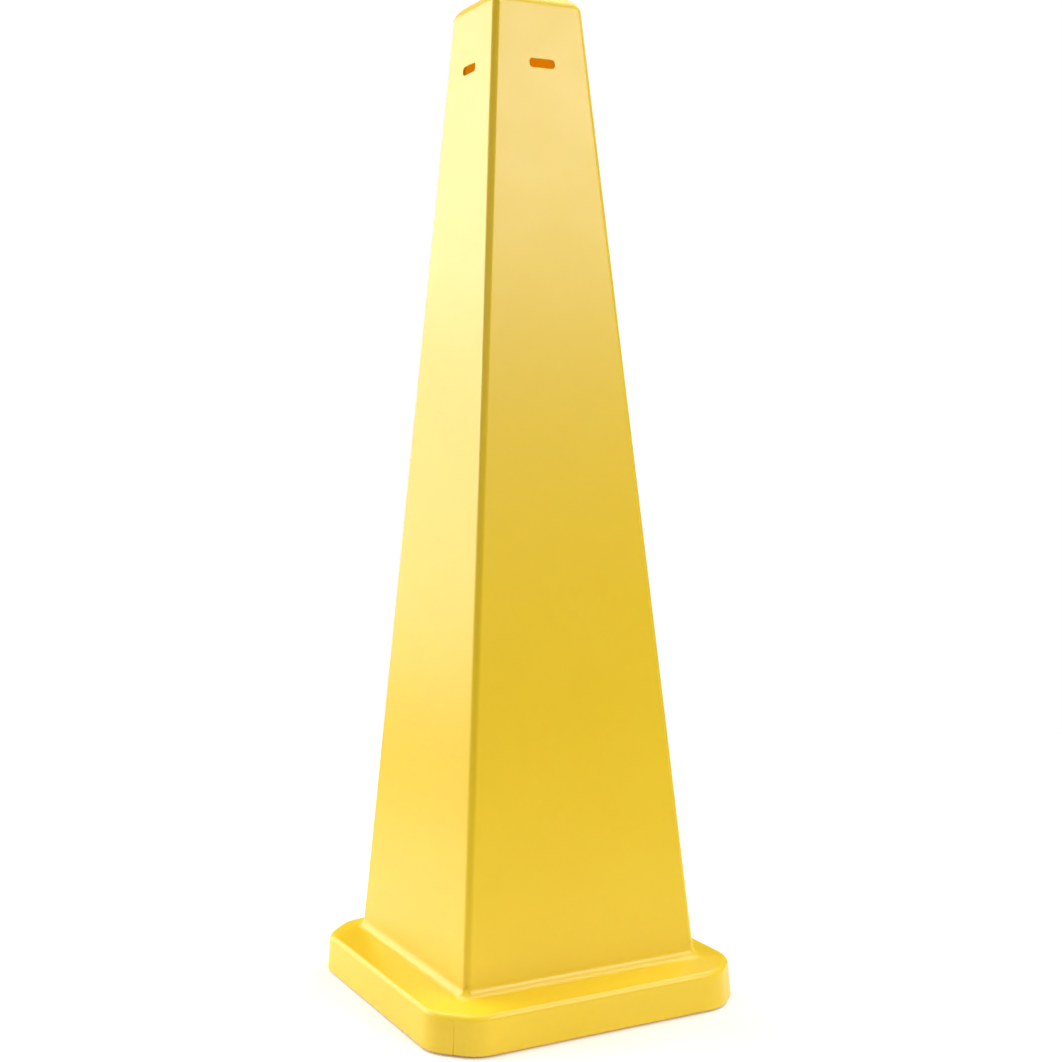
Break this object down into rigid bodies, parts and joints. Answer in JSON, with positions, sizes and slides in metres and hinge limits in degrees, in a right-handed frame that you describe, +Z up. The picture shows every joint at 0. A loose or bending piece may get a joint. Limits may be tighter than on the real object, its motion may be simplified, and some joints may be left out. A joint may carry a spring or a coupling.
{
  "type": "floor safety cone",
  "caption": "Tall hollow square cone on a flared base, with a slot in each face near its closed top and rubber pads below; stands on a wet floor as a warning.",
  "frame": {"origin": "middle of the footprint, on the floor", "axes": "+Z up through the middle of the top; the four slotted faces look along -Y (front), +X (right), +Y (back) and -X (left)"},
  "size_m": [0.3066, 0.3066, 0.9144],
  "materials": {
    "yellow_plastic": "moulded satin plastic, faint grain, slightly translucent where thin",
    "pad_rubber": "matte"
  },
  "bodies": {
    "root": {"cone_shell": "yellow_plastic", "base_skirt": "yellow_plastic", "foot_pad_front_left": "pad_rubber", "foot_pad_front_right": "pad_rubber", "foot_pad_back_left": "pad_rubber", "foot_pad_back_right": "pad_rubber"}
  },
  "joints": []
}
